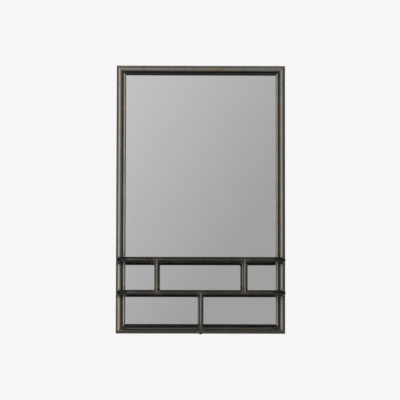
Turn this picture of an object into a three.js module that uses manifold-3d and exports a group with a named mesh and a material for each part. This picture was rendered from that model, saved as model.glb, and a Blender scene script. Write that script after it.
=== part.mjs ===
// A wall mirror in a mitred round-tube frame, with an open gallery of bent rods in front of its lower third.
// Millimetres. X runs to the right, Y towards the wall and Z up. The origin lies on the wall plane, at the middle
// of the width and at the height of the frame's lowest edge; the mirror faces -Y.
import * as THREE from "three";
import { mergeVertices } from "three/addons/utils/BufferGeometryUtils.js";
import Module from "manifold-3d";

// ---- Driving dimensions -------------------------------------------------------------------------------------

// Frame: round tube, with a thinner bead rod inside it that the glass bears on.
const FRAME_WIDTH = 500;
const FRAME_HEIGHT = 795;
const TUBE_DIAMETER = 19;
const TUBE_WALL = 1.5;
const BEAD_DIAMETER = 9;
const BEAD_FORWARD = 2.5; // the bead's axis lies this far in front of the tube's axis

// Glass and what packs it into the frame, from the bead backwards.
const TAPE_THICKNESS = 0.8;
const TAPE_WIDTH = 6;
const GLASS_THICKNESS = 4;
const BOARD_THICKNESS = 3;
const GLASS_EDGE_CLEARANCE = 1; // between the sheets' edges and the tubes

// Gallery of rods.
const ROD_DIAMETER = 15;
const GALLERY_DEPTH = 115; // from the frame tubes' axes to the rails' axes
const UPPER_RAIL_HEIGHT = 214;
const LOWER_RAIL_HEIGHT = 118;
const RAIL_BEND_RADIUS = 40; // at the rod's axis
const POST_SPACING = 256; // between the two posts of the upper row
const CENTRE_ARM_HEIGHT = 5;
const CENTRE_BEND_RADIUS = 25; // at the rod's axis
const SHELF_THICKNESS = 2;

// Turn buttons and their screws.
const BUTTON_LENGTH = 26; // from the pivot to the tip
const BUTTON_WIDTH = 12;
const BUTTON_THICKNESS = 1.2;
const SCREW_DIAMETER = 4;
const SCREW_LENGTH = 8; // under the head
const SCREW_HEAD_DIAMETER = 8;
const SCREW_HEAD_HEIGHT = 2;
const SCREW_RECESS_DEPTH = 0.9;
const SCREW_RECESS_WIDTH = 1;
const SIDE_BUTTON_SPACING = 400; // between the two buttons of a side tube

// Keyhole hangers, welded across the backs of the side tubes.
const HANGER_WIDTH = 16;
const HANGER_LENGTH = 48;
const HANGER_THICKNESS = 1.8;
const HANGER_FOOT = 6;
const HANGER_FROM_TOP = 95; // from the frame's top edge to the middle of the hanger
const KEYHOLE_HEAD_DIAMETER = 9;
const KEYHOLE_SLOT_WIDTH = 4.6;
const KEYHOLE_RISE = 12; // between the centre of the round hole and the top of the slot's straight part

// Wall bumpers.
const BUMPER_DIAMETER = 12;
const BUMPER_EDGE_RADIUS = 1.5;
const BUMPER_INSET = 36; // from the board's edges

// Clearances.
const WALL_CLEARANCE = 1.3; // between the screw heads and the wall
const HANGER_CLEARANCE = 0.6; // between the hangers and the wall
const WELD_GAP = 0.3; // where a weld joins two metal pieces
const SEAT_GAP = 0.1; // between sheets that lie on each other
const RUNNING_GAP = 0.3; // between a turn button and what it slides on or turns about
const SHELF_GLASS_GAP = 0.5;

// Fineness of the round forms.
const TUBE_ARC_STEPS = 12; // half of the number of sides
const ROD_ARC_STEPS = 10;
const BEND_STEPS = 8;
const SMALL_ARC_STEPS = 8;

// ---- Derived places -----------------------------------------------------------------------------------------

const tubeRadius = TUBE_DIAMETER / 2;
const beadRadius = BEAD_DIAMETER / 2;
const rodRadius = ROD_DIAMETER / 2;
const mitreSetback = (WELD_GAP / 2) * Math.SQRT2;

// Depths from the tubes' axes, towards the wall.
const beadBack = -BEAD_FORWARD + beadRadius;
const tapeFront = beadBack + SEAT_GAP;
const glassFront = tapeFront + TAPE_THICKNESS + SEAT_GAP;
const glassBack = glassFront + GLASS_THICKNESS;
const boardFront = glassBack + SEAT_GAP;
const boardBack = boardFront + BOARD_THICKNESS;
const buttonFront = Math.max(boardBack, tubeRadius) + RUNNING_GAP;
const headFront = buttonFront + BUTTON_THICKNESS + SEAT_GAP;
const wallDepth = headFront + SCREW_HEAD_HEIGHT + WALL_CLEARANCE;

// The tube's axes around the frame, and how far inside them the bead rod's axis runs.
const axisX = FRAME_WIDTH / 2 - tubeRadius;
const axisTop = FRAME_HEIGHT - tubeRadius;
const axisBottom = tubeRadius;
const beadInset = Math.sqrt((tubeRadius + beadRadius + WELD_GAP) ** 2 - BEAD_FORWARD ** 2);

// Half the width of a frame tube between two depths.
function tubeHalfChord(front, back) {
  const nearest = front <= 0 && back >= 0 ? 0 : Math.min(Math.abs(front), Math.abs(back));
  return Math.sqrt(Math.max(tubeRadius ** 2 - nearest ** 2, 0));
}

const sheetInset = tubeHalfChord(glassFront, boardBack) + GLASS_EDGE_CLEARANCE;
const sheetHalfWidth = axisX - sheetInset;
const sheetBottom = axisBottom + sheetInset;
const sheetTop = axisTop - sheetInset;

// ---- Materials ----------------------------------------------------------------------------------------------

const paint = (color, roughness, metalness) =>
  new THREE.MeshStandardMaterial({ color, roughness, metalness });
const burnishedSteel = paint(0x5a544c, 0.42, 0.9);
const shelfSteel = paint(0x4d4842, 0.5, 0.9);
const silveredGlass = paint(0xc3c6c4, 0.03, 1);
const hardboard = paint(0x7a5234, 0.85, 0);
const foam = paint(0x1d1d1e, 0.95, 0);
const zincPlate = paint(0xa9a9a4, 0.35, 0.95);
const rubber = paint(0x202021, 0.9, 0);

// ---- Tools for solids ---------------------------------------------------------------------------------------

const wasm = await Module();
wasm.setup();

function solidOf(geometry) {
  const bare = geometry.clone();
  bare.deleteAttribute("normal");
  bare.deleteAttribute("uv");
  const merged = mergeVertices(bare, 1e-4);
  return new wasm.Manifold(
    new wasm.Mesh({
      numProp: 3,
      vertProperties: new Float32Array(merged.attributes.position.array),
      triVerts: new Uint32Array(merged.index.array),
    }),
  );
}

function geometryOf(solid) {
  const { numProp, numVert, vertProperties, triVerts } = solid.getMesh();
  const places = new Float32Array(numVert * 3);
  for (let i = 0; i < numVert; i++)
    places.set(vertProperties.subarray(i * numProp, i * numProp + 3), i * 3);
  const shared = new THREE.BufferGeometry()
    .setAttribute("position", new THREE.BufferAttribute(places, 3))
    .setIndex(new THREE.BufferAttribute(new Uint32Array(triVerts), 1));
  const geometry = shared.toNonIndexed();
  geometry.computeVertexNormals();
  return geometry;
}

function cut(geometry, ...cutters) {
  let solid = solidOf(geometry);
  for (const cutter of cutters) solid = solid.subtract(solidOf(cutter));
  return geometryOf(solid);
}

function join(geometry, ...others) {
  let solid = solidOf(geometry);
  for (const other of others) solid = solid.add(solidOf(other));
  return geometryOf(solid);
}

// A cylinder of the given radius about an axis that runs along x, y or z through a point.
function cylinderAlong(direction, radius, length, x, y, z, arcSteps = TUBE_ARC_STEPS) {
  const cylinder = new THREE.CylinderGeometry(radius, radius, length, 2 * arcSteps);
  if (direction === "x") cylinder.rotateZ(Math.PI / 2);
  if (direction === "z") cylinder.rotateX(Math.PI / 2);
  return cylinder.translate(x, y, z);
}

// A box between two corners.
function boxBetween(x0, y0, z0, x1, y1, z1) {
  return new THREE.BoxGeometry(x1 - x0, y1 - y0, z1 - z0).translate(
    (x0 + x1) / 2,
    (y0 + y1) / 2,
    (z0 + z1) / 2,
  );
}

function circle(x, y, radius) {
  const shape = new THREE.Shape();
  shape.absarc(x, y, radius, 0, 2 * Math.PI, false);
  return shape;
}

function rectangle(x0, y0, x1, y1) {
  const shape = new THREE.Shape();
  shape.moveTo(x0, y0);
  shape.lineTo(x1, y0);
  shape.lineTo(x1, y1);
  shape.lineTo(x0, y1);
  shape.closePath();
  return shape;
}

function extrude(shape, depth, curveSegments) {
  return new THREE.ExtrudeGeometry(shape, { depth, bevelEnabled: false, curveSegments });
}

// The path of a bent rod: straight runs joined by arcs. Each bend is {centre, from, to, turns}, where from and to
// are unit vectors from the bend's centre to the rod's axis at its start and its end.
class BentPath extends THREE.Curve {
  constructor(start, bends, end, bendRadius) {
    super();
    this.stations = [{ at: start, heading: null }];
    for (const { centre, from, to } of bends)
      for (let i = 0; i <= BEND_STEPS; i++) {
        const angle = (i / BEND_STEPS) * (Math.PI / 2);
        const out = from.clone().multiplyScalar(Math.cos(angle));
        out.addScaledVector(to, Math.sin(angle));
        const heading = from.clone().multiplyScalar(-Math.sin(angle));
        heading.addScaledVector(to, Math.cos(angle));
        this.stations.push({ at: centre.clone().addScaledVector(out, bendRadius), heading });
      }
    this.stations.push({ at: end, heading: null });
    this.stations[0].heading = this.stations[1].heading;
    this.stations.at(-1).heading = this.stations.at(-2).heading;
    this.steps = this.stations.length - 1;
  }

  getPoint(t) {
    const along = t * this.steps;
    const i = Math.min(Math.floor(along), this.steps - 1);
    return this.stations[i].at.clone().lerp(this.stations[i + 1].at, along - i);
  }

  getTangent(t) {
    return this.stations[Math.round(t * this.steps)].heading.clone();
  }

  getUtoTmapping(u) {
    return u; // one extrusion step per station, however long the run between them
  }
}

function bentRod(path) {
  return new THREE.ExtrudeGeometry(circle(0, 0, rodRadius), {
    steps: path.steps,
    curveSegments: ROD_ARC_STEPS,
    extrudePath: path,
  });
}

const mirror = new THREE.Group();

function addMesh(parent, name, geometry, material, x = 0, y = 0, z = 0) {
  const mesh = new THREE.Mesh(geometry, material);
  mesh.name = name;
  mesh.position.set(x, y, z);
  parent.add(mesh);
  return mesh;
}

// ---- Frame --------------------------------------------------------------------------------------------------

// Each side of the frame is built in its own group: local z runs along the tube's axis, x points to the middle of
// the mirror and y to the wall. Every section ends on the mitre planes at the corners.
function mitredBar(section, halfLength, arcSteps) {
  const bar = extrude(section, 1, arcSteps);
  const places = bar.attributes.position;
  for (let i = 0; i < places.count; i++) {
    const end = halfLength - places.getX(i) - mitreSetback;
    places.setZ(i, places.getZ(i) > 0.5 ? end : -end);
  }
  return bar;
}

function tubeSection() {
  const section = circle(0, 0, tubeRadius);
  section.holes.push(circle(0, 0, tubeRadius - TUBE_WALL));
  return section;
}

function screwGeometry() {
  // Local y points to the wall; y = 0 is the underside of the head.
  const shank = SCREW_DIAMETER / 2;
  const head = SCREW_HEAD_DIAMETER / 2;
  const edge = SCREW_HEAD_HEIGHT * 0.45;
  const profile = [
    new THREE.Vector2(0, -SCREW_LENGTH),
    new THREE.Vector2(shank * 0.4, -SCREW_LENGTH),
    new THREE.Vector2(shank, -SCREW_LENGTH + shank),
    new THREE.Vector2(shank, 0),
    new THREE.Vector2(head, 0),
    new THREE.Vector2(head, edge),
    new THREE.Vector2(head * 0.72, SCREW_HEAD_HEIGHT),
    new THREE.Vector2(0, SCREW_HEAD_HEIGHT),
  ];
  const reach = head * 0.55;
  const half = SCREW_RECESS_WIDTH / 2;
  const floor = SCREW_HEAD_HEIGHT - SCREW_RECESS_DEPTH;
  return cut(
    new THREE.LatheGeometry(profile, 2 * SMALL_ARC_STEPS),
    boxBetween(-reach, floor, -half, reach, SCREW_HEAD_HEIGHT + 1, half),
    boxBetween(-half, floor, -reach, half, SCREW_HEAD_HEIGHT + 1, reach),
  );
}

function turnButtonGeometry() {
  // A strip with a round end about the pivot and a narrower round tip; local x points along it.
  const wide = BUTTON_WIDTH / 2;
  const narrow = wide * 0.7;
  const tip = BUTTON_LENGTH - narrow;
  const shape = new THREE.Shape();
  shape.absarc(0, 0, wide, Math.PI / 2, 1.5 * Math.PI, false);
  shape.absarc(tip, 0, narrow, -Math.PI / 2, Math.PI / 2, false);
  shape.closePath();
  shape.holes.push(circle(0, 0, SCREW_DIAMETER / 2 + RUNNING_GAP));
  return extrude(shape, BUTTON_THICKNESS, SMALL_ARC_STEPS).rotateX(-Math.PI / 2);
}

let buttonNumber = 0;

function addFrameSide(name, halfLength, angle, x, z, buttonStations) {
  const side = new THREE.Group();
  side.position.set(x, 0, z);
  side.rotation.y = angle;
  const drill = SCREW_DIAMETER / 2 + RUNNING_GAP;
  const drills = buttonStations.map((at) =>
    cylinderAlong("y", drill, tubeRadius, 0, tubeRadius, at, SMALL_ARC_STEPS),
  );
  const tube = mitredBar(tubeSection(), halfLength, TUBE_ARC_STEPS);
  addMesh(side, `frame_tube_${name}`, cut(tube, ...drills), burnishedSteel);
  const bead = mitredBar(circle(beadInset, -BEAD_FORWARD, beadRadius), halfLength, ROD_ARC_STEPS);
  addMesh(side, `bead_rod_${name}`, bead, burnishedSteel);
  const tape = rectangle(
    beadInset - TAPE_WIDTH / 2,
    tapeFront,
    beadInset + TAPE_WIDTH / 2,
    tapeFront + TAPE_THICKNESS,
  );
  addMesh(side, `cushion_tape_${name}`, mitredBar(tape, halfLength, 1), foam);
  for (const at of buttonStations) {
    buttonNumber += 1;
    addMesh(side, `turn_button_${buttonNumber}`, turnButtonGeometry(), zincPlate, 0, buttonFront, at);
    addMesh(side, `button_screw_${buttonNumber}`, screwGeometry(), zincPlate, 0, headFront, at);
  }
  frame.add(side);
}

const frame = new THREE.Group();
frame.position.y = -wallDepth;
mirror.add(frame);

const middleZ = (axisTop + axisBottom) / 2;
const halfRise = (axisTop - axisBottom) / 2;
const sideStations = [-SIDE_BUTTON_SPACING / 2, SIDE_BUTTON_SPACING / 2];
addFrameSide("left", halfRise, 0, -axisX, middleZ, sideStations);
addFrameSide("right", halfRise, Math.PI, axisX, middleZ, sideStations);
addFrameSide("top", axisX, Math.PI / 2, 0, axisTop, [0]);
addFrameSide("bottom", axisX, -Math.PI / 2, 0, axisBottom, [0]);

// ---- Glass and board ----------------------------------------------------------------------------------------

addMesh(
  frame,
  "mirror_glass",
  boxBetween(-sheetHalfWidth, glassFront, sheetBottom, sheetHalfWidth, glassBack, sheetTop),
  silveredGlass,
);
addMesh(
  frame,
  "backing_board",
  boxBetween(-sheetHalfWidth, boardFront, sheetBottom, sheetHalfWidth, boardBack, sheetTop),
  hardboard,
);

// ---- Wall bumpers and hangers -------------------------------------------------------------------------------

function bumperGeometry() {
  const radius = BUMPER_DIAMETER / 2;
  const height = wallDepth - boardBack - SEAT_GAP;
  const edge = Math.min(BUMPER_EDGE_RADIUS, height / 2);
  const profile = [new THREE.Vector2(0, 0), new THREE.Vector2(radius, 0)];
  for (let i = 0; i <= 3; i++) {
    const angle = (i / 3) * (Math.PI / 2);
    profile.push(
      new THREE.Vector2(radius - edge + edge * Math.cos(angle), height - edge + edge * Math.sin(angle)),
    );
  }
  profile.push(new THREE.Vector2(0, height));
  return new THREE.LatheGeometry(profile, 2 * SMALL_ARC_STEPS);
}

let bumperNumber = 0;
for (const z of [sheetTop - BUMPER_INSET, sheetBottom + BUMPER_INSET])
  for (const x of [-sheetHalfWidth + BUMPER_INSET, sheetHalfWidth - BUMPER_INSET]) {
    bumperNumber += 1;
    addMesh(frame, `wall_bumper_${bumperNumber}`, bumperGeometry(), rubber, x, boardBack + SEAT_GAP, z);
  }

function hangerGeometry() {
  // A plate that stands off the tube on two feet, with a keyhole that opens downwards. Local y = 0 is the tube's
  // axis, z = 0 the plate's middle.
  const halfWidth = HANGER_WIDTH / 2;
  const halfLength = HANGER_LENGTH / 2;
  const back = wallDepth - HANGER_CLEARANCE;
  const plate = boxBetween(
    -halfWidth, back - HANGER_THICKNESS, -halfLength, halfWidth, back, halfLength,
  );
  const lowerFoot = boxBetween(
    -halfWidth, 0, -halfLength, halfWidth, back, -halfLength + HANGER_FOOT,
  );
  const upperFoot = boxBetween(
    -halfWidth, 0, halfLength - HANGER_FOOT, halfWidth, back, halfLength,
  );
  const headZ = -KEYHOLE_RISE / 2;
  const slotZ = KEYHOLE_RISE / 2;
  const through = 2 * back;
  const slot = KEYHOLE_SLOT_WIDTH / 2;
  return cut(
    join(plate, lowerFoot, upperFoot),
    cylinderAlong("z", tubeRadius + WELD_GAP, 2 * HANGER_LENGTH, 0, 0, 0),
    boxBetween(-HANGER_WIDTH, -1, -HANGER_LENGTH, HANGER_WIDTH, tubeRadius / 2, HANGER_LENGTH),
    cylinderAlong("y", KEYHOLE_HEAD_DIAMETER / 2, through, 0, back, headZ, SMALL_ARC_STEPS),
    cylinderAlong("y", slot, through, 0, back, slotZ, SMALL_ARC_STEPS),
    boxBetween(-slot, 0, headZ, slot, through, slotZ),
  );
}

const hangerZ = FRAME_HEIGHT - HANGER_FROM_TOP;
addMesh(frame, "hanger_left", hangerGeometry(), zincPlate, -axisX, 0, hangerZ);
addMesh(frame, "hanger_right", hangerGeometry(), zincPlate, axisX, 0, hangerZ);

// ---- Gallery ------------------------------------------------------------------------------------------------

// Depths here are from the tubes' axes too, so the rails' axes lie at -GALLERY_DEPTH.
const gallery = new THREE.Group();
gallery.position.y = -wallDepth;
mirror.add(gallery);

const LEFT = new THREE.Vector3(-1, 0, 0);
const RIGHT = new THREE.Vector3(1, 0, 0);
const FRONT = new THREE.Vector3(0, -1, 0);
const DOWN = new THREE.Vector3(0, 0, -1);

// A rail lies in its local plane z = 0. Its arms are coped around the side tubes.
function railGeometry() {
  const bendX = axisX - RAIL_BEND_RADIUS;
  const bendY = -GALLERY_DEPTH + RAIL_BEND_RADIUS;
  const path = new BentPath(
    new THREE.Vector3(-axisX, 0, 0),
    [
      { centre: new THREE.Vector3(-bendX, bendY, 0), from: LEFT, to: FRONT },
      { centre: new THREE.Vector3(bendX, bendY, 0), from: FRONT, to: RIGHT },
    ],
    new THREE.Vector3(axisX, 0, 0),
    RAIL_BEND_RADIUS,
  );
  const cope = tubeRadius + WELD_GAP;
  return cut(
    bentRod(path),
    cylinderAlong("z", cope, 2 * ROD_DIAMETER, -axisX, 0, 0),
    cylinderAlong("z", cope, 2 * ROD_DIAMETER, axisX, 0, 0),
  );
}

addMesh(gallery, "upper_rail", railGeometry(), burnishedSteel, 0, 0, UPPER_RAIL_HEIGHT);
addMesh(gallery, "lower_rail", railGeometry(), burnishedSteel, 0, 0, LOWER_RAIL_HEIGHT);

// A post stands on the lower rail's axis and reaches the upper rail's, coped around both.
function postGeometry() {
  const rise = UPPER_RAIL_HEIGHT - LOWER_RAIL_HEIGHT;
  const cope = rodRadius + WELD_GAP;
  return cut(
    extrude(circle(0, 0, rodRadius), rise, ROD_ARC_STEPS),
    cylinderAlong("x", cope, 2 * ROD_DIAMETER, 0, 0, 0),
    cylinderAlong("x", cope, 2 * ROD_DIAMETER, 0, 0, rise),
  );
}

for (const [name, x] of [["post_left", -POST_SPACING / 2], ["post_right", POST_SPACING / 2]])
  addMesh(gallery, name, postGeometry(), burnishedSteel, x, -GALLERY_DEPTH, LOWER_RAIL_HEIGHT);

// The centre post hangs from the lower rail and turns back to the bottom tube.
function centrePostGeometry() {
  const bendY = -GALLERY_DEPTH + CENTRE_BEND_RADIUS;
  const bendZ = CENTRE_ARM_HEIGHT + CENTRE_BEND_RADIUS;
  const path = new BentPath(
    new THREE.Vector3(0, -GALLERY_DEPTH, LOWER_RAIL_HEIGHT),
    [{ centre: new THREE.Vector3(0, bendY, bendZ), from: FRONT, to: DOWN }],
    new THREE.Vector3(0, 0, CENTRE_ARM_HEIGHT),
    CENTRE_BEND_RADIUS,
  );
  return cut(
    bentRod(path),
    cylinderAlong("x", rodRadius + WELD_GAP, 2 * ROD_DIAMETER, 0, -GALLERY_DEPTH, LOWER_RAIL_HEIGHT),
    cylinderAlong("x", tubeRadius + WELD_GAP, 2 * ROD_DIAMETER, 0, 0, axisBottom),
  );
}

addMesh(gallery, "post_centre", centrePostGeometry(), burnishedSteel);

// ---- Shelves ------------------------------------------------------------------------------------------------

// The upper shelf fills the lower rail's U at the height of its axis, and runs on between the side beads to the
// glass. The lower shelf lies on the centre post's arm and meets the bottom tube.
const shelfHalfWidth = axisX - rodRadius - WELD_GAP;
const shelfFront = -GALLERY_DEPTH + rodRadius + WELD_GAP;
const shelfCorner = RAIL_BEND_RADIUS - rodRadius - WELD_GAP;

function upperShelfGeometry() {
  const tubeFront = -tubeRadius - WELD_GAP;
  const tongue = axisX - beadInset - beadRadius - WELD_GAP;
  const tongueBack = glassFront - SHELF_GLASS_GAP;
  const shape = new THREE.Shape();
  shape.absarc(-shelfHalfWidth + shelfCorner, shelfFront + shelfCorner, shelfCorner, Math.PI, 1.5 * Math.PI);
  shape.absarc(shelfHalfWidth - shelfCorner, shelfFront + shelfCorner, shelfCorner, 1.5 * Math.PI, 2 * Math.PI);
  shape.lineTo(shelfHalfWidth, tubeFront);
  shape.lineTo(tongue, tubeFront);
  shape.lineTo(tongue, tongueBack);
  shape.lineTo(-tongue, tongueBack);
  shape.lineTo(-tongue, tubeFront);
  shape.lineTo(-shelfHalfWidth, tubeFront);
  shape.closePath();
  return extrude(shape, SHELF_THICKNESS, BEND_STEPS / 2);
}

function lowerShelfGeometry(underside) {
  const overAxis = Math.max(underside - axisBottom, 0);
  const tubeFace = Math.sqrt(Math.max(tubeRadius ** 2 - overAxis ** 2, 0));
  const back = -tubeFace - WELD_GAP;
  const front = -GALLERY_DEPTH + CENTRE_BEND_RADIUS;
  const corner = Math.min(shelfCorner, (back - front) / 2);
  const shape = new THREE.Shape();
  shape.absarc(-shelfHalfWidth + corner, front + corner, corner, Math.PI, 1.5 * Math.PI);
  shape.absarc(shelfHalfWidth - corner, front + corner, corner, 1.5 * Math.PI, 2 * Math.PI);
  shape.lineTo(shelfHalfWidth, back);
  shape.lineTo(-shelfHalfWidth, back);
  shape.closePath();
  return extrude(shape, SHELF_THICKNESS, BEND_STEPS / 2);
}

const upperShelfUnderside = LOWER_RAIL_HEIGHT - SHELF_THICKNESS / 2;
const lowerShelfUnderside = CENTRE_ARM_HEIGHT + rodRadius + WELD_GAP;
addMesh(gallery, "upper_shelf", upperShelfGeometry(), shelfSteel, 0, 0, upperShelfUnderside);
addMesh(
  gallery,
  "lower_shelf",
  lowerShelfGeometry(lowerShelfUnderside),
  shelfSteel,
  0,
  0,
  lowerShelfUnderside,
);

export default mirror;
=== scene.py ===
"""A wall mirror in a mitred round-tube frame, with an open gallery of bent rods across its lower part.

Metres. X runs to the right, Y towards the wall and Z up; the glass faces -Y. The solid model is the frame
that every piece here is fitted to: places and sizes are read from its boxes, and only finer forms have
sizes here.
"""
import math

import bmesh
import bpy
from mathutils import Matrix, Quaternion, Vector


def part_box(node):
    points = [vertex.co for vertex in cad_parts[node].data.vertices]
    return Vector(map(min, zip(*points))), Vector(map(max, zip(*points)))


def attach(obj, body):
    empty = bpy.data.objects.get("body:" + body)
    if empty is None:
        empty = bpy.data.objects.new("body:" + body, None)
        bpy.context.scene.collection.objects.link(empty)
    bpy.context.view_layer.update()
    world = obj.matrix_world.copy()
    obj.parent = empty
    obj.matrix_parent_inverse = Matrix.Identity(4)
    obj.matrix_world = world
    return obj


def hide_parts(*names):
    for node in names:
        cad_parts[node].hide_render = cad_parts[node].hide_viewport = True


MM = 0.001
X, Y, Z = Vector((1, 0, 0)), Vector((0, 1, 0)), Vector((0, 0, 1))

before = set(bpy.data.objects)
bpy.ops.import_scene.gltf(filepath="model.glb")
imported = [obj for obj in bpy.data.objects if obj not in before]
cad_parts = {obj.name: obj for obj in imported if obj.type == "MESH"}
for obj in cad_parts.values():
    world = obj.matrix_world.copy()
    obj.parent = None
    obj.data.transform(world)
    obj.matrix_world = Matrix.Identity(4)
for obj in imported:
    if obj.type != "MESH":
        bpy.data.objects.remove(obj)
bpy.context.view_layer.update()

# ---- Sizes read from the solid model -------------------------------------------------------------------

SIDES = ("top", "bottom", "left", "right")
TUBE = {side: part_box(f"frame_tube_{side}") for side in SIDES}
BEAD = {side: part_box(f"bead_rod_{side}") for side in SIDES}
RAILS = {name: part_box(f"{name}_rail") for name in ("upper", "lower")}
POSTS = {name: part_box(f"post_{name}") for name in ("left", "right", "centre")}

tube_radius = (TUBE["left"][1].x - TUBE["left"][0].x) / 2
tube_y = (TUBE["left"][0].y + TUBE["left"][1].y) / 2
axis_x = TUBE["right"][1].x - tube_radius
axis_top = TUBE["top"][1].z - tube_radius
axis_bottom = TUBE["bottom"][0].z + tube_radius
bead_radius = (BEAD["left"][1].x - BEAD["left"][0].x) / 2
bead_y = (BEAD["left"][0].y + BEAD["left"][1].y) / 2
bead_inset = axis_x - (BEAD["right"][0].x + bead_radius)
rod_radius = (RAILS["upper"][1].z - RAILS["upper"][0].z) / 2
rail_y = RAILS["upper"][0].y + rod_radius
rail_z = {name: (low.z + high.z) / 2 for name, (low, high) in RAILS.items()}
post_x = {name: (POSTS[name][0].x + POSTS[name][1].x) / 2 for name in ("left", "right")}
centre_arm_z = POSTS["centre"][0].z + rod_radius
arm_end_y = tube_y - tube_radius / 2  # the arms run through the tubes' front walls and end inside


# ---- Modelling by hand, in code ------------------------------------------------------------------------

NEAR = 0.02 * MM  # how far from a plane a part may lie and still be picked as on it
MERGE = 0.002 * MM  # corners of a new mesh that lie closer are one
NODE_MERGE = 0.01 * MM  # and those of a node's loose triangles
NODE_FLAT = 1  # triangles of a node that turn by fewer degrees are one face


def only(piece):
    """Selects this piece alone, in object mode."""
    if bpy.context.mode != "OBJECT":
        bpy.ops.object.mode_set(mode="OBJECT")
    bpy.ops.object.select_all(action="DESELECT")
    piece.select_set(True)
    bpy.context.view_layer.objects.active = piece
    return piece


def begin(add, **placing):
    """Adds a primitive, brings its place into its mesh, and opens it for editing."""
    if bpy.context.mode != "OBJECT":
        bpy.ops.object.mode_set(mode="OBJECT")
    bpy.ops.object.select_all(action="DESELECT")
    add(**placing)
    piece = only(bpy.context.object)
    bpy.ops.object.transform_apply(location=True, rotation=True, scale=True)
    bpy.ops.object.mode_set(mode="EDIT")
    return piece


def end(piece, name):
    """Closes the piece's editing, with faces out and its name given."""
    bpy.ops.object.mode_set(mode="EDIT")
    bpy.ops.mesh.select_all(action="SELECT")
    bpy.ops.mesh.remove_doubles(threshold=MERGE)
    bpy.ops.mesh.normals_make_consistent(inside=False)
    bpy.ops.object.mode_set(mode="OBJECT")
    piece.name = piece.data.name = name
    return only(piece)


def pick(kind, test):
    """In edit mode, selects just the vertices, edges or faces whose middle passes the test."""
    bpy.ops.mesh.select_mode(type=kind)
    bpy.ops.mesh.select_all(action="DESELECT")
    mesh = bmesh.from_edit_mesh(bpy.context.edit_object.data)
    parts = {"VERT": mesh.verts, "EDGE": mesh.edges, "FACE": mesh.faces}[kind]
    for part in parts:
        if kind == "VERT":
            middle = part.co
        elif kind == "EDGE":
            middle = (part.verts[0].co + part.verts[1].co) / 2
        else:
            middle = part.calc_center_median()
        if test(part, middle):
            part.select_set(True)
    mesh.select_flush_mode()
    bmesh.update_edit_mesh(bpy.context.edit_object.data)


def close_ends():
    """Closes every open loop of edges with a face."""
    pick("EDGE", lambda edge, at: edge.is_boundary)
    bpy.ops.mesh.edge_face_add()


def apply(piece, kind, **settings):
    """Adds a modifier and applies it."""
    only(piece)
    modifier = piece.modifiers.new(kind.title(), kind)
    for key, value in settings.items():
        setattr(modifier, key, value)
    bpy.ops.object.modifier_apply(modifier=modifier.name)
    return piece


def soften(piece, width, segments=3, angle=35):
    """Rounds the edges sharper than the angle in degrees, and lets large faces set how the rest is shaded."""
    apply(
        piece, "BEVEL", width=width, segments=segments, limit_method="ANGLE",
        angle_limit=math.radians(angle), use_clamp_overlap=True,
    )
    smooth(piece)
    return apply(piece, "WEIGHTED_NORMAL", mode="FACE_AREA", weight=50, keep_sharp=True)


def smooth(piece, angle=40):
    """Shades edges that turn by fewer degrees than the angle as one round surface."""
    only(piece)
    bpy.ops.object.shade_smooth_by_angle(angle=math.radians(angle))
    return piece


def fit(piece, body, slot, material, *nodes):
    """Gives a finished piece its material and its body, and hides the nodes that it stands for."""
    piece.data.materials.clear()
    piece.data.materials.append(material)
    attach(piece, body)
    if nodes:
        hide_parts(*nodes)


def copy_of(piece, name, move=(0, 0, 0), turn=0):
    """A copy with its own mesh, turned about Z through the origin and then moved."""
    twin = piece.copy()
    twin.data = piece.data.copy()
    twin.name = twin.data.name = name
    bpy.context.collection.objects.link(twin)
    twin.data.transform(Matrix.Translation(move) @ Matrix.Rotation(turn, 4, "Z"))
    return twin


def cylinder(radius, start, finish, sides, name=None):
    """A closed cylinder between two points, which stays open for editing where no name ends it."""
    span = finish - start
    turn = span.to_track_quat("Z", "Y").to_euler()
    piece = begin(
        bpy.ops.mesh.primitive_cylinder_add, vertices=sides, radius=radius, depth=span.length,
        location=(start + finish) / 2, rotation=turn,
    )
    return end(piece, name) if name else piece


def refined(node, name, edge, angle=35):
    """A copy of a node's form, with its triangles merged and its edges rounded."""
    piece = copy_of(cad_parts[node], name)
    piece.parent = None
    for key in list(piece.keys()):  # what marks the node as one isn't the copy's
        del piece[key]
    only(piece)
    bpy.ops.object.mode_set(mode="EDIT")
    bpy.ops.mesh.select_all(action="SELECT")
    bpy.ops.mesh.remove_doubles(threshold=NODE_MERGE)
    bpy.ops.mesh.dissolve_limited(angle_limit=math.radians(NODE_FLAT))
    end(piece, name)
    return soften(piece, edge, angle=angle)


# ---- Materials -----------------------------------------------------------------------------------------

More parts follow.
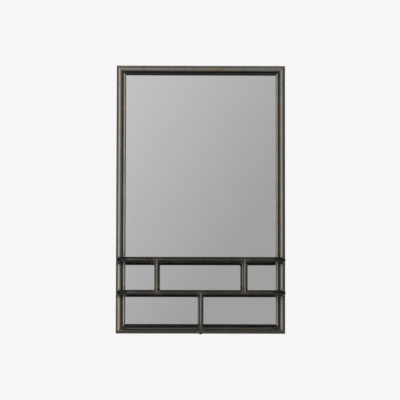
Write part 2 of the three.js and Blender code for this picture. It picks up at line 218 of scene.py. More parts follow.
class Wire:
    """A socket in a material, with arithmetic on it."""

    def __init__(self, tree, socket):
        self.tree = tree
        self.socket = socket

    def node(self, kind, settings=None, inputs=None, output=0):
        """A node of any kind: settings first, then the values or links of its sockets."""
        made = self.tree.nodes.new(kind)
        for key, value in (settings or {}).items():
            setattr(made, key, value)
        for key, value in (inputs or {}).items():
            if isinstance(value, Wire):
                self.tree.links.new(value.socket, made.inputs[key])
            else:
                made.inputs[key].default_value = value
        return Wire(self.tree, made.outputs[output])

    def math(self, operation, *values):
        return self.node("ShaderNodeMath", {"operation": operation}, dict(enumerate(values)))

    def __add__(self, other):
        return self.math("ADD", self, other)

    __radd__ = __add__

    def __sub__(self, other):
        return self.math("SUBTRACT", self, other)

    def __rsub__(self, other):
        return self.math("SUBTRACT", other, self)

    def __mul__(self, other):
        return self.math("MULTIPLY", self, other)

    __rmul__ = __mul__

    def clamp(self, low, high):
        return self.math("MINIMUM", self.math("MAXIMUM", self, low), high)

    def stretched(self, scale):
        """These coordinates, scaled along each axis."""
        return self.node("ShaderNodeMapping", {}, {"Vector": self, "Scale": scale})

    def noise(self, scale, detail=3.0, roughness=0.55, distortion=0.0):
        """Clouds of 0 to 1 at these coordinates; the scale is about how many there are in a metre."""
        inputs = {"Vector": self, "Scale": scale}
        inputs.update({"Detail": detail, "Roughness": roughness, "Distortion": distortion})
        return self.node("ShaderNodeTexNoise", {}, inputs)

    def between(self, low, high):
        """0 below low, 1 above high, and a smooth step between."""
        return self.node(
            "ShaderNodeMapRange", {"interpolation_type": "SMOOTHSTEP"},
            {"Value": self, "From Min": low, "From Max": high},
        )

    def blend(self, first, second):
        """The first colour where this is 0, the second where it is 1."""
        return self.node(
            "ShaderNodeMix", {"data_type": "RGBA"}, {0: self, 6: first, 7: second}, output=2,
        )

    def bump(self, strength, distance, under=None):
        """This as a relief, over another relief where one is given."""
        inputs = {"Height": self, "Strength": strength, "Distance": distance}
        if under is not None:
            inputs["Normal"] = under
        return self.node("ShaderNodeBump", {}, inputs)


def rgb(red, green, blue):
    return (red, green, blue, 1.0)


def new_material(name):
    """An empty material: its shader, and its object coordinates as a wire."""
    material = bpy.data.materials.new(name)
    material.use_nodes = True
    tree = material.node_tree
    shader = tree.nodes["Principled BSDF"]
    place = Wire(tree, tree.nodes.new("ShaderNodeTexCoord").outputs["Object"])
    return material, shader, place


def feed(shader, **values):
    """Sets or links the shader's sockets; an underscore stands for a space."""
    tree = shader.id_data
    for key, value in values.items():
        socket = shader.inputs[key.replace("_", " ")]
        if isinstance(value, Wire):
            tree.links.new(value.socket, socket)
        else:
            socket.default_value = value


STEEL_GREY = (0.038, 0.036, 0.0315)
STEEL_BROWN = (0.045, 0.0355, 0.027)
STEEL_PALE = (0.079, 0.075, 0.065)
STEEL_SOOT = (0.010, 0.010, 0.009)
STREAK_LENGTH = 20  # how many times longer than wide the streaks of rubbing are
GLASS_CLEAR = (0.850, 0.862, 0.852)
GLASS_HAZE = (0.865, 0.872, 0.866)
RIM_DEEP = (0.16, 0.30, 0.25)
RIM_GROUND = (0.34, 0.50, 0.44)
BOARD_DARK = (0.215, 0.125, 0.066)
BOARD_LIGHT = (0.285, 0.176, 0.098)
BOARD_STRAND = (0.40, 0.27, 0.16)
# the colour of the painted shade in the board's furrows
BOARD_FURROW_SHADE = (0.15, 0.083, 0.042)
BOARD_BARK = (0.07, 0.036, 0.018)
BOARD_MESH = (0.12, 0.065, 0.034)
ZINC_DARK = (0.50, 0.50, 0.48)
ZINC_LIGHT = (0.64, 0.64, 0.61)
ZINC_DULL = (0.34, 0.335, 0.31)
RUBBER_TONE = (0.022, 0.022, 0.023)
FOAM_TONE = (0.03, 0.03, 0.032)
DUST_TONE = (0.16, 0.155, 0.15)


def shaded(tone, share):
    """A tone made lighter or darker by a share."""
    return tuple(share * part for part in tone)


def burnished_steel(name, along, rubbing_and_painted_light=1.0, heat=0.0):
    """Dark patinated steel under clear lacquer, rubbed back along the bar's axis, if it has one.

    More rubbing leaves a paler bar, and heat darkens it, as round a weld. The rubbing share is also painted
    light: set per bar, it makes a bar paler or darker as the light falls on it.
    """
    material, shader, place = new_material(name)
    grey = rgb(*shaded(STEEL_GREY, rubbing_and_painted_light))
    brown = rgb(*shaded(STEEL_BROWN, rubbing_and_painted_light))
    pale = rgb(*shaded(STEEL_PALE, rubbing_and_painted_light))
    soot = rgb(*STEEL_SOOT)
    rubbed = place.stretched(tuple(1 / STREAK_LENGTH if axis == along else 1.0 for axis in "xyz"))
    clouds = place.noise(11, detail=4, roughness=0.55, distortion=0.4)
    patches = place.noise(38, detail=4, roughness=0.6)
    streaks = rubbed.noise(300, detail=4, roughness=0.6)
    grain = rubbed.noise(2200, detail=2)
    pits = place.noise(900, detail=2, roughness=0.7)
    colour = (clouds.between(0.46, 0.64) * 0.85).blend(grey, brown)
    worn = patches.between(0.50, 0.75) * 0.22 + streaks.between(0.48, 0.78) * 0.28
    colour = worn.blend(colour, pale)
    sooty = (1 - patches).between(0.56, 0.76) * 0.35
    colour = sooty.blend(colour, soot)
    speck = pits.between(0.68, 0.78) * 0.4
    colour = speck.blend(colour, soot)
    if heat:
        burnt = place.noise(240, detail=3).between(0.35, 0.65) * heat
        colour = burnt.blend(colour, soot)
    roughness = 0.29 + heat * 0.08 + patches * 0.06 + streaks * 0.05 + speck * 0.15
    relief = patches.bump(0.015, 0.3 * MM)
    relief = grain.bump(0.008, 0.03 * MM, relief)
    relief = pits.bump(0.010, 0.05 * MM, relief)
    feed(
        shader,
        Base_Color=colour,
        Metallic=0.8,
        Roughness=roughness.clamp(0.15, 0.7),
        Specular_IOR_Level=0.25,
        Specular_Tint=rgb(0.30, 0.30, 0.29),
        Coat_Weight=(0.18 - worn * 0.14).clamp(0.02, 1.0),
        Coat_Roughness=0.2,
        Normal=relief,
    )
    return material


def silvered_glass():
    """Clear polished mirror, with a breath of haze and a few grains of dust."""
    material, shader, place = new_material("silvered_glass")
    haze = place.noise(7, detail=4, roughness=0.6)
    dust = place.noise(900, detail=2).between(0.68, 0.8)
    feed(
        shader,
        Base_Color=haze.between(0.3, 0.7).blend(rgb(*GLASS_CLEAR), rgb(*GLASS_HAZE)),
        Metallic=1.0,
        Roughness=(haze * 0.012 + dust * 0.02).clamp(0.002, 0.05),
    )
    return material


def glass_edge():
    """The glass's greenish rim, dull where it was ground."""
    material, shader, place = new_material("glass_edge")
    grind = place.noise(1500, detail=3)
    feed(
        shader,
        Base_Color=grind.blend(rgb(*RIM_DEEP), rgb(*RIM_GROUND)),
        Roughness=0.22 + grind * 0.2,
        Normal=grind.bump(0.15, 0.05 * MM),
    )
    return material


def hardboard():
    """Pressed wood fibre: matted strands, dark bark flecks, the mark of the press's wire mesh, and painted
    shade in the furrows between crossing strands.
    """
    material, shader, place = new_material("hardboard")
    mottling = place.noise(6, detail=5, roughness=0.7)
    strands = place.stretched((1.0, 1.0, 0.22)).noise(300, detail=5, roughness=0.7, distortion=2.5)
    crossed_furrow_shade = place.stretched((0.22, 1.0, 1.0)).noise(340, detail=5, roughness=0.7, distortion=2.5)
    flecks = place.noise(700, detail=3).between(0.62, 0.72)
    wires = [
        place.node(
            "ShaderNodeTexWave", {"bands_direction": axis},
            {"Vector": place, "Scale": 170.0, "Distortion": 0.5, "Detail": 1.0, "Detail Scale": 2.0},
            output="Fac",
        )
        for axis in ("X", "Z")
    ]
    mesh = wires[0] * wires[1]
    colour = mottling.between(0.35, 0.65).blend(rgb(*BOARD_DARK), rgb(*BOARD_LIGHT))
    colour = (strands.between(0.5, 0.75) * 0.45).blend(colour, rgb(*BOARD_STRAND))
    # painted shade: the furrows between crossing strands are darkened as if shade fell in them, with no
    # relief of their own
    colour = (crossed_furrow_shade.between(0.52, 0.78) * 0.40).blend(colour, rgb(*BOARD_FURROW_SHADE))
    colour = (flecks * 0.55).blend(colour, rgb(*BOARD_BARK))
    colour = (mesh * 0.18).blend(colour, rgb(*BOARD_MESH))
    relief = strands.bump(0.35, 0.10 * MM)
    feed(
        shader,
        Base_Color=colour,
        Roughness=(0.66 + strands * 0.25).clamp(0.5, 1.0),
        Normal=mesh.bump(0.45, 0.15 * MM, relief),
    )
    return material


def zinc_plate():
    """Zinc-plated strip: soft spangle, drawn lines and a few dull marks."""
    material, shader, place = new_material("zinc_plate")
    spangle = place.node("ShaderNodeTexVoronoi", {}, {"Vector": place, "Scale": 420.0}, output="Color")
    lightness = spangle.node("ShaderNodeSeparateColor", {}, {"Color": spangle})
    drawn = place.stretched((0.15, 1.0, 1.0)).noise(2600, detail=3)
    dull = place.noise(160, detail=4, roughness=0.65).between(0.5, 0.72)
    colour = lightness.blend(rgb(*ZINC_DARK), rgb(*ZINC_LIGHT))
    colour = (dull * 0.5).blend(colour, rgb(*ZINC_DULL))
    feed(
        shader,
        Base_Color=colour,
        Metallic=1.0,
        Roughness=(0.26 + dull * 0.22 + drawn * 0.14).clamp(0.2, 0.7),
        Normal=drawn.bump(0.12, 0.05 * MM),
    )
    return material


def soft_black(name, tone, pore_strength, pore_scale):
    """Rubber or closed-cell foam: fine pores, painted darker in their pits as shade, and a dusting."""
    material, shader, place = new_material(name)
    pores = place.noise(pore_scale, detail=3, roughness=0.7)
    dust = place.noise(220, detail=4).between(0.5, 0.8)
    # painted shade: the pores' pits, low in the relief, are darkened as if shade fell in them
    colour = pores.between(0.35, 0.7).blend(rgb(*shaded(tone, 0.6)), rgb(*tone))
    colour = (dust * 0.25).blend(colour, rgb(*DUST_TONE))
    feed(
        shader,
        Base_Color=colour,
        Roughness=(0.68 + dust * 0.2 + pores * 0.1).clamp(0.5, 1.0),
        Normal=pores.bump(pore_strength, 0.12 * MM),
    )
    return material


# Painted light: the rubbing shares below are set bar by bar to copy how the light falls, so these steels are
# lit and shaded copies of one finish. The left tube, side beads, top tube and posts are painted paler, as
# painted highlight. The right tube, bottom tube, rails and the top and bottom beads are painted darker, as
# painted shade. The level beads are darkest, as in the shade under their tubes.
LEFT_STEEL = burnished_steel("left_steel", "z", rubbing_and_painted_light=3.0)
RIGHT_STEEL = burnished_steel("right_steel", "z", rubbing_and_painted_light=2.4)
BEAD_SIDE_STEEL = burnished_steel("bead_side_steel", "z", rubbing_and_painted_light=3.2)
TOP_STEEL = burnished_steel("top_steel", "x", rubbing_and_painted_light=2.7)
BOTTOM_STEEL = burnished_steel("bottom_steel", "x", rubbing_and_painted_light=1.2)
BEAD_LEVEL_STEEL = burnished_steel("bead_level_steel", "x", rubbing_and_painted_light=0.35)
RAIL_STEEL = burnished_steel("rod_steel_x", "x", rubbing_and_painted_light=0.6)
POST_STEEL = burnished_steel("rod_steel_z", "z", rubbing_and_painted_light=1.3)
SHELF_STEEL = burnished_steel("shelf_steel", "x", rubbing_and_painted_light=1.6)
ROD_WELD = burnished_steel("rod_weld", None, heat=0.3)
TUBE_WELD = burnished_steel("tube_weld", None, rubbing_and_painted_light=2.4, heat=0.3)
GLASS = silvered_glass()
GLASS_EDGE = glass_edge()
BOARD = hardboard()
ZINC = zinc_plate()
RUBBER = soft_black("bumper_rubber", RUBBER_TONE, pore_strength=0.25, pore_scale=700)
FOAM = soft_black("cell_foam", FOAM_TONE, pore_strength=0.6, pore_scale=1600)


# ---- Frame: tubes and beads with mitred ends -----------------------------------------------------------

TUBE_SIDES = 72
TUBE_WALL = 1.5 * MM
MITRE_SPARE = 3  # how far past its corner a bar is first made, in tube radii
MITRE_GAP = 0.12 * MM  # between the two bars that meet at a corner
MITRE_EDGE = 0.35 * MM
MITRE_RING = 1.2 * MM  # from a mitre to a ring of edges that keeps its shading off the bar

ALONG = {"top": X, "bottom": X, "left": Z, "right": Z}
INWARD = {"top": -Z, "bottom": Z, "left": X, "right": -X}
frame_middle = Vector((0, tube_y, (axis_top + axis_bottom) / 2))
half_rise = (axis_top - axis_bottom) / 2


def side_axis(side):
    """The middle of a side's tube axis, and its half length between the corners."""
    level = side in ("top", "bottom")
    reach = half_rise if level else axis_x
    half = axis_x if level else half_rise
    return frame_middle - INWARD[side] * reach, half


def mitred_bar(name, side, inset, forward, radius, wall=None):
    """A round bar along one side of the frame, cut at the corners' mitre planes.

    It lies inset towards the frame's middle and forward into the room from the tube's axis. With a wall
    it is a pipe.
    """
    centre, half = side_axis(side)
    along, inward = ALONG[side], INWARD[side]
    offset = inward * inset + Vector((0, -forward, 0))
    reach = along * (half + MITRE_SPARE * tube_radius)
    piece = cylinder(radius, centre + offset - reach, centre + offset + reach, TUBE_SIDES)
    pick("FACE", lambda face, at: len(face.verts) > 4)  # the two end caps
    bpy.ops.mesh.delete(type="FACE")
    for way in (-1, 1):
        corner = centre + along * way * half
        plane = (along * way + inward).normalized()
        bpy.ops.mesh.select_all(action="SELECT")
        bpy.ops.mesh.bisect(plane_co=corner - plane * MITRE_RING, plane_no=plane)
        bpy.ops.mesh.select_all(action="SELECT")
        bpy.ops.mesh.bisect(plane_co=corner - plane * MITRE_GAP / 2, plane_no=plane, clear_outer=True)
    if wall is None:
        close_ends()
    end(piece, name)
    if wall is not None:
        apply(piece, "SOLIDIFY", thickness=wall, offset=-1)
    return soften(piece, MITRE_EDGE, segments=2, angle=50)


TUBE_STEEL = {"top": TOP_STEEL, "bottom": BOTTOM_STEEL, "left": LEFT_STEEL, "right": RIGHT_STEEL}
BEAD_STEEL = {
    "top": BEAD_LEVEL_STEEL, "bottom": BEAD_LEVEL_STEEL,
    "left": BEAD_SIDE_STEEL, "right": BEAD_SIDE_STEEL,
}

for side in SIDES:
    tube = mitred_bar(f"{side}_tube", side, 0, 0, tube_radius, wall=TUBE_WALL)
    fit(tube, "frame", "burnished_steel", TUBE_STEEL[side], f"frame_tube_{side}")
    bead = mitred_bar(f"{side}_bead", side, bead_inset, tube_y - bead_y, bead_radius)
    fit(bead, "frame", "burnished_steel", BEAD_STEEL[side], f"bead_rod_{side}")
    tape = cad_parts[f"cushion_tape_{side}"]  # its form is right, so it only takes a finish
    tape.data.materials.clear()
    tape.data.materials.append(FOAM)


# ---- Gallery: bent rods and posts ----------------------------------------------------------------------

ROD_SIDES = 56
RAIL_BEND = 40 * MM  # radius of the bend, to the rod's middle line
CENTRE_BEND = 25 * MM
BEND_STEPS = 20
RAIL_LENGTHS = 8  # how many lengths a rail's straight front is drawn in


def start_rod(at, heading):
    """An open ring of edges at a rod's end, ready to be drawn along."""
    piece = begin(
        bpy.ops.mesh.primitive_circle_add, vertices=ROD_SIDES, radius=rod_radius, fill_type="NOTHING",
        location=at, rotation=heading.to_track_quat("Z", "Y").to_euler(),
    )
    bpy.ops.mesh.select_mode(type="EDGE")
    bpy.ops.mesh.select_all(action="SELECT")
    return piece


def run(way, lengths=1):
    """Draws the ring straight on, in equal lengths."""
    for _ in range(lengths):
        bpy.ops.mesh.extrude_region_move(TRANSFORM_OT_translate={"value": way / lengths})


def bend(centre, axis):
    """Draws the ring a quarter turn about the axis, by the right-hand rule, which spin counts as negative."""
    bpy.ops.mesh.spin(steps=BEND_STEPS, angle=-math.radians(90), center=centre, axis=axis)


def rail(name, z):
    """A rod bent into a U: out from the left tube, across the front and back to the right tube."""
    bend_x, bend_y = axis_x - RAIL_BEND, rail_y + RAIL_BEND
    arm = Vector((0, bend_y - arm_end_y, 0))
    piece = start_rod(Vector((-axis_x, arm_end_y, z)), Vector((0, -1, 0)))
    run(arm)
    bend(Vector((-bend_x, bend_y, z)), Z)
    run(Vector((2 * bend_x, 0, 0)), RAIL_LENGTHS)
    bend(Vector((bend_x, bend_y, z)), Z)
    run(-arm)
    close_ends()
    end(piece, name)
    return smooth(piece)


def centre_rod():
    """A rod from the lower rail down, and back under the compartments to the bottom tube."""
    bend_z = centre_arm_z + CENTRE_BEND
    piece = start_rod(Vector((0, rail_y, rail_z["lower"])), Vector((0, 0, -1)))
    run(Vector((0, 0, bend_z - rail_z["lower"])))
    bend(Vector((0, rail_y + CENTRE_BEND, bend_z)), X)
    run(Vector((0, arm_end_y - rail_y - CENTRE_BEND, 0)))
    close_ends()
    end(piece, "centre_rod")
    return smooth(piece)


for name, z in rail_z.items():
    fit(rail(f"{name}_rod", z), "frame", "burnished_steel", RAIL_STEEL, f"{name}_rail")

for name, x in post_x.items():
    foot, head = (Vector((x, rail_y, rail_z[level])) for level in ("lower", "upper"))
    post = cylinder(rod_radius, foot, head, ROD_SIDES, f"{name}_post")
    fit(smooth(post), "frame", "burnished_steel", POST_STEEL, f"post_{name}")

fit(centre_rod(), "frame", "burnished_steel", POST_STEEL, "post_centre")


# ---- Welds: the two bars at each joint, melted together ------------------------------------------------

WELD_REACH = 16 * MM  # how far a fillet's metal follows each bar
WELD_PROUD = 0.18 * MM  # how far it stands over the bars
WELD_VOXEL = 0.7 * MM
WELD_SMOOTHING = 50
WELD_ROUND = 80  # degrees: a weld has no sharp edge


def both_ways(radius, joint, way):
    """A bar that runs through a joint: its radius, and its two ends for the weld."""
    return radius, joint - way * WELD_REACH, joint + way * WELD_REACH


def weld(name, material, bars):
    """A fillet of weld metal: short lengths of the joined bars, fused and smoothed."""
    limbs = []
    for radius, start, finish in bars:
        limbs.append(cylinder(radius + WELD_PROUD, start, finish, ROD_SIDES, f"{name}_limb"))
    bpy.ops.object.select_all(action="DESELECT")
    for limb in limbs:
        limb.select_set(True)
    bpy.context.view_layer.objects.active = limbs[0]
    bpy.ops.object.join()
    piece = only(bpy.context.object)
    apply(piece, "REMESH", mode="VOXEL", voxel_size=WELD_VOXEL, use_smooth_shade=True)
    apply(piece, "SMOOTH", factor=0.5, iterations=WELD_SMOOTHING)
    piece.name = piece.data.name = name
    smooth(piece, WELD_ROUND)
    fit(piece, "frame", "burnished_steel", material)


for name, x in post_x.items():
    for level, way in (("lower", 1), ("upper", -1)):
        joint = Vector((x, rail_y, rail_z[level]))
        stub = (rod_radius, joint, joint + Z * way * WELD_REACH)
        weld(f"weld_{name}_post_{level}", ROD_WELD, [both_ways(rod_radius, joint, X), stub])

joint = Vector((0, rail_y, rail_z["lower"]))
stub = (rod_radius, joint, joint - Z * WELD_REACH)
weld("weld_centre_post", ROD_WELD, [both_ways(rod_radius, joint, X), stub])

for name, z in rail_z.items():
    for side, way in (("left", -1), ("right", 1)):
        joint = Vector((way * axis_x, tube_y, z))
        stub = (rod_radius, joint, joint - Y * (WELD_REACH + tube_radius))
        weld(f"weld_{name}_arm_{side}", TUBE_WELD, [both_ways(tube_radius, joint, Z), stub])

joint = Vector((0, tube_y, axis_bottom))
arm_start = Vector((0, tube_y, centre_arm_z))
arm_finish = Vector((0, tube_y - tube_radius - WELD_REACH, centre_arm_z))
stub = (rod_radius, arm_start, arm_finish)
weld("weld_centre_arm", TUBE_WELD, [both_ways(tube_radius, joint, X), stub])


# ---- Glass and board -----------------------------------------------------------------------------------

GLASS_GRIND = 0.6 * MM
BOARD_ROUND = 0.4 * MM
SHEET_SMOOTH = 25  # degrees: a ground edge stays crisp beside the broad faces
BROAD = 0.99  # how squarely a face looks along Y if it is one of the two broad ones


def sheet(name, node, edge):
    """A flat sheet in a node's place, with the edges round its two broad faces ground off."""
    low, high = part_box(node)
    size = high - low
    piece = begin(bpy.ops.mesh.primitive_cube_add, size=1, location=(low + high) / 2, scale=size)
    pick("EDGE", lambda part, at: abs(at.y - low.y) < NEAR or abs(at.y - high.y) < NEAR)
    bpy.ops.mesh.bevel(offset=edge, segments=2, affect="EDGES")
    return smooth(end(piece, name), SHEET_SMOOTH)


mirror_sheet = sheet("mirror_sheet", "mirror_glass", GLASS_GRIND)
fit(mirror_sheet, "frame", "silvered_glass", GLASS, "mirror_glass")
mirror_sheet.data.materials.append(GLASS_EDGE)
for face in mirror_sheet.data.polygons:
    face.material_index = 0 if abs(face.normal.y) > BROAD else 1
back_board = sheet("back_board", "backing_board", BOARD_ROUND)
fit(back_board, "frame", "hardboard", BOARD, "backing_board")


# ---- Shelves -------------------------------------------------------------------------------------------

SHELF_EDGE = 0.45 * MM

for level in ("upper", "lower"):
    shelf = refined(f"{level}_shelf", f"{level}_floor", SHELF_EDGE)
    fit(shelf, "frame", "shelf_steel", SHELF_STEEL, f"{level}_shelf")


# ---- Weld tacks under the shelves ----------------------------------------------------------------------

TACK_LENGTH = 9 * MM
TACK_RADIUS = 1.3 * MM
TACK_SIDES = 20
TACK_RINGS = 24
RIPPLE_RINGS = 4  # rings from one ripple to the next
TACK_SWELL = 1.14  # how much wider a ripple is
TACK_SPREAD = 3 / 4  # the outermost tacks' share of a shelf's half width
ARM_SHARES = (0.3, 0.7)  # where the centre arm's tacks lie along the lower shelf's depth


def weld_tack():
    """A short run of weld metal along X at the origin, with the ripples the torch leaves."""
    tack = begin(
        bpy.ops.mesh.primitive_uv_sphere_add, segments=TACK_SIDES, ring_count=TACK_RINGS, radius=1,
        rotation=(0, math.radians(90), 0), scale=(TACK_RADIUS, TACK_RADIUS, TACK_LENGTH / 2),
    )
    for ring in range(RIPPLE_RINGS, TACK_RINGS, RIPPLE_RINGS):
        x = TACK_LENGTH / 2 * math.cos(math.pi * ring / TACK_RINGS)
        pick("VERT", lambda vertex, at: abs(at.x - x) < NEAR)
        bpy.ops.transform.resize(value=(1, TACK_SWELL, TACK_SWELL), center_override=(x, 0, 0))
    end(tack, "weld_tack")
    return smooth(tack, WELD_ROUND)


def tack_places():
    """Middles of the tacks that hold both shelves from below, and whether each runs along Y."""
    upper_low, upper_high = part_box("upper_shelf")
    lower_low, lower_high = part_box("lower_shelf")
    under = Vector((0, 0, -TACK_RADIUS / 4))  # a tack's middle hangs a little below the sheet
    reach = TACK_SPREAD * upper_high.x
    for x in (-reach, -reach / 2, reach / 2, reach):
        yield Vector((x, upper_low.y, upper_low.z)) + under, False
        yield Vector((x, lower_high.y, lower_low.z)) + under, False
    for x in (upper_low.x, upper_high.x):
        yield Vector((x, (upper_low.y + tube_y) / 2, upper_low.z)) + under, True
    for x in (-rod_radius / 2, rod_radius / 2):
        for share in ARM_SHARES:
            y = lower_low.y + share * (lower_high.y - lower_low.y)
            yield Vector((x, y, lower_low.z - TACK_RADIUS / 2)), True


first_tack = weld_tack()
for number, (place, along_y) in enumerate(tack_places(), 1):
    tack = copy_of(first_tack, f"weld_tack_{number}", place, math.radians(90) if along_y else 0)
    fit(tack, "frame", "burnished_steel", ROD_WELD)
bpy.data.objects.remove(first_tack)


# ---- Fittings on the back ------------------------------------------------------------------------------

STRIP_ANGLE = 40  # degrees: sharper edges of the zinc strip are rounded
HANGER_EDGE = 0.35 * MM
BUTTON_EDGE = 0.3 * MM
BUTTONS = range(1, 7)
HEAD_GAP = 0.1 * MM  # between a screw's head and its button
SHANK_RADIUS = 2 * MM
SCREW_POINT = 2 * MM
SCREW_TAPER = 0.25  # the tip's share of the shank's width
SCREW_SIDES = 48
SCREW_EDGE = 0.1 * MM
PAN_ROUND = 1.0 * MM
RECESS_WIDTH = 4.6 * MM
RECESS_NARROW = 0.24  # each arm's width as a share of its length
RECESS_DEPTH = 1.1 * MM
RECESS_TAPER = 0.6  # the recess's floor as a share of its mouth
BUMPERS = range(1, 5)
BUFFER_SIDES = 64
BUFFER_EDGE = 0.6 * MM
DISH_RIM = 0.32  # shares of the foot's radius: its flat rim, and the slope inside it
DISH_SLOPE = 0.14
DISH_DEPTH = 1.2 * MM


def place_of(node):
    """The middle of a node's box."""
    low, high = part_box(node)
    return (low + high) / 2


def pan_screw(name):
    """A pan-head screw in the first one's place, its head to the wall, with a tapered cross recess."""
    low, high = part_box("button_screw_1")
    middle = (low + high) / 2
    radius = (high.x - low.x) / 2
    head_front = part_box("turn_button_1")[1].y + HEAD_GAP
    front, crown = Vector((middle.x, head_front, middle.z)), Vector((middle.x, high.y, middle.z))
    screw = cylinder(radius, front, crown, SCREW_SIDES)
    pick("FACE", lambda face, at: abs(at.y - head_front) < NEAR)
    bpy.ops.mesh.inset(thickness=radius - SHANK_RADIUS)
    run(Vector((0, low.y + SCREW_POINT - head_front, 0)))
    run(Vector((0, -SCREW_POINT, 0)))
    bpy.ops.transform.resize(value=(SCREW_TAPER, 1, SCREW_TAPER), center_override=(middle.x, low.y, middle.z))
    pick("EDGE", lambda edge, at: abs(at.y - high.y) < NEAR)
    bpy.ops.mesh.bevel(offset=PAN_ROUND, segments=6, affect="EDGES")
    end(screw, name)
    for wide, tall in ((1, RECESS_NARROW), (RECESS_NARROW, 1)):
        punch = begin(
            bpy.ops.mesh.primitive_cube_add, size=1, location=crown,
            scale=(RECESS_WIDTH * wide, 2 * RECESS_DEPTH, RECESS_WIDTH * tall),
        )
        pick("FACE", lambda face, at: at.y < high.y - RECESS_DEPTH / 2)
        floor_middle = (middle.x, high.y - RECESS_DEPTH, middle.z)
        bpy.ops.transform.resize(value=(RECESS_TAPER, 1, RECESS_TAPER), center_override=floor_middle)
        end(punch, "recess_punch")
        apply(screw, "BOOLEAN", object=punch, operation="DIFFERENCE", solver="EXACT")
        bpy.data.objects.remove(punch)
    return soften(screw, SCREW_EDGE, segments=2, angle=30)


def wall_buffer(name):
    """A rubber foot in the first one's place, with a rounded rim and a shallow dish towards the wall."""
    low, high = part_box("wall_bumper_1")
    middle = (low + high) / 2
    radius = (high.x - low.x) / 2
    board_end, wall_end = Vector((middle.x, low.y, middle.z)), Vector((middle.x, high.y, middle.z))
    foot = cylinder(radius, board_end, wall_end, BUFFER_SIDES)
    pick("FACE", lambda face, at: abs(at.y - high.y) < NEAR)
    bpy.ops.mesh.inset(thickness=radius * DISH_RIM)
    bpy.ops.mesh.inset(thickness=radius * DISH_SLOPE)
    bpy.ops.transform.translate(value=(0, -DISH_DEPTH, 0))
    end(foot, name)
    return soften(foot, BUFFER_EDGE, segments=4, angle=20)


for name in ("left", "right"):
    hanger = refined(f"hanger_{name}", f"{name}_hanger", HANGER_EDGE, STRIP_ANGLE)
    fit(hanger, "frame", "zinc_plate", ZINC, f"hanger_{name}")

for number in BUTTONS:
    button = refined(f"turn_button_{number}", f"button_{number}", BUTTON_EDGE, STRIP_ANGLE)
    fit(button, f"turn_button_{number}", "zinc_plate", ZINC, f"turn_button_{number}")

first_screw = pan_screw("first_screw")
for number in BUTTONS:
    node = f"button_screw_{number}"
    screw = copy_of(first_screw, f"screw_{number}", place_of(node) - place_of("button_screw_1"))
    fit(screw, "frame", "zinc_plate", ZINC, node)
bpy.data.objects.remove(first_screw)

first_buffer = wall_buffer("first_buffer")
for number in BUMPERS:
    node = f"wall_bumper_{number}"
    bumper = copy_of(first_buffer, f"bumper_{number}", place_of(node) - place_of("wall_bumper_1"))
    fit(bumper, "frame", "rubber", RUBBER, node)
bpy.data.objects.remove(first_buffer)


# ---- Studio --------------------------------------------------------------------------------------------

FLOOR_DROP = 1.15
FLOOR_SIZE = 9.0
FLOOR_LIFT = 0.44  # what the floor gives the camera besides the light it reflects


def grey_of(level):
    return rgb(level, level, level)


def floor():
    """A pale floor well below the mirror, which hangs in the studio's air as it does on its wall."""
    piece = begin(bpy.ops.mesh.primitive_plane_add, size=FLOOR_SIZE, location=(0, 0, -FLOOR_DROP))
    end(piece, "studio_floor")
    material, shader, place = new_material("studio_floor")
    seen = place.node("ShaderNodeLightPath", output="Is Camera Ray")
    feed(
        shader,
        Base_Color=place.noise(3, detail=2).blend(grey_of(0.90), grey_of(0.93)),
        Roughness=0.9,
        Specular_IOR_Level=0.1,
        Emission_Color=seen.blend(grey_of(0), grey_of(FLOOR_LIFT)),
        Emission_Strength=1.0,
    )
    piece.data.materials.append(material)


floor()

BACKDROP = grey_of(0.923)
ROOM_LEVEL = 0.500  # the grey that the middle of the glass above the gallery shows
ROOM_ACROSS, ROOM_UPWARDS = 0.010, 0.086  # and the direction in which it shows it
FALL_ACROSS, RISE_UPWARDS = 2.2, 1.45  # how the grey changes to the right and upwards
ROOM_RANGE = (0.410, 0.66)
ROOM_SHADE = 0.30  # the share of the grey that is left away from straight before the glass
ROOM_AHEAD = (0.90, 0.995)  # how squarely a direction points there, from shaded to full
BACKDROP_WAY = (0.72, 0.92)  # how squarely one points to the wall, from room to backdrop
AIR_FRONT, AIR_BACK = grey_of(0.28), grey_of(0.85)  # what dull surfaces get from before and behind
AIR_TURN = (-0.1, 0.5)  # how squarely a direction points to the wall, from the one to the other


def studio_air():
    """Pale behind the mirror; in front, the grey room that the glass shows, brighter at its upper left."""
    world = bpy.data.worlds.new("studio")
    bpy.context.scene.world = world
    world.use_nodes = True
    tree = world.node_tree
    way = Wire(tree, tree.nodes.new("ShaderNodeTexCoord").outputs["Generated"])
    across, back, upwards = (
        way.node("ShaderNodeSeparateXYZ", {}, {"Vector": way}, output=axis) for axis in "XYZ"
    )
    room = ROOM_LEVEL - FALL_ACROSS * (across - ROOM_ACROSS) + RISE_UPWARDS * (upwards - ROOM_UPWARDS)
    room = room.clamp(*ROOM_RANGE)
    room = room * (ROOM_SHADE + (1 - ROOM_SHADE) * (0 - back).between(*ROOM_AHEAD))
    grey = room.node("ShaderNodeCombineColor", {}, {0: room, 1: room, 2: room})
    behind = back.between(*BACKDROP_WAY)
    glossy = way.node("ShaderNodeLightPath", output="Is Glossy Ray")
    diffuse = way.node("ShaderNodeLightPath", output="Is Diffuse Ray")
    shown = glossy.blend(BACKDROP, behind.blend(grey, BACKDROP))
    shown = diffuse.blend(shown, back.between(*AIR_TURN).blend(AIR_FRONT, AIR_BACK))
    tree.links.new(shown.socket, tree.nodes["Background"].inputs["Color"])


studio_air()

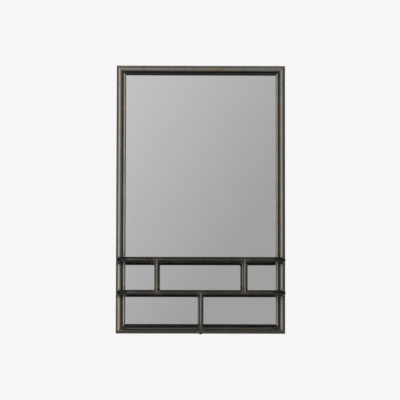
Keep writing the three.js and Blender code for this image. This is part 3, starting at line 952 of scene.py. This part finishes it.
LEFT_TUBE_AT = (-0.24, 0, 0.40)
RIGHT_TUBE_AT = (0.24, 0, 0.40)
GLASS_MIDDLE_AT = (0, -0.05, 0.40)


def softbox(name, at, towards, width, height, radiance):
    """A rectangular lamp at a place, facing another; the camera doesn't see it."""
    lamp = bpy.data.lights.new(name, "AREA")
    lamp.shape = "RECTANGLE"
    lamp.size, lamp.size_y = width, height
    lamp.energy = radiance * math.pi * width * height
    holder = bpy.data.objects.new(name, lamp)
    holder.location = at
    holder.rotation_mode = "QUATERNION"
    holder.rotation_quaternion = (Vector(at) - Vector(towards)).to_track_quat("Z", "Y")
    holder.visible_camera = False
    bpy.context.collection.objects.link(holder)


softbox("left_box", (-1.15, -3.00, 0.62), LEFT_TUBE_AT, width=1.45, height=2.10, radiance=6.6)
softbox("far_left_box", (-1.95, -0.65, 0.50), LEFT_TUBE_AT, width=1.00, height=1.40, radiance=0.8)
softbox("right_box", (0.86, -3.00, 0.62), RIGHT_TUBE_AT, width=0.90, height=2.10, radiance=3.7)
softbox("far_right_box", (1.95, -1.00, 0.50), RIGHT_TUBE_AT, width=1.00, height=1.40, radiance=0.6)
softbox("top_box", (0, -0.36, 2.20), GLASS_MIDDLE_AT, width=1.70, height=0.60, radiance=2.2)


# ---- Camera, where the photograph's stood --------------------------------------------------------------

CAMERA_AT = Vector((-0.066, -6.51, -0.056))
CAMERA_AIM = Vector((-0.002, -0.012, 0.3953))
CAMERA_ROLL = math.radians(0.11)
CAMERA_LENS = 197.9

camera = bpy.data.cameras.new("camera")
camera.sensor_width = 36.0
camera.lens = CAMERA_LENS
camera.clip_end = 60.0
stand = bpy.data.objects.new("camera", camera)
stand.location = CAMERA_AT
stand.rotation_mode = "QUATERNION"
aim = (CAMERA_AIM - CAMERA_AT).to_track_quat("-Z", "Y")
stand.rotation_quaternion = aim @ Quaternion((0, 0, 1), CAMERA_ROLL)
bpy.context.collection.objects.link(stand)
bpy.context.scene.camera = stand

bpy.context.scene.view_settings.view_transform = "Standard"
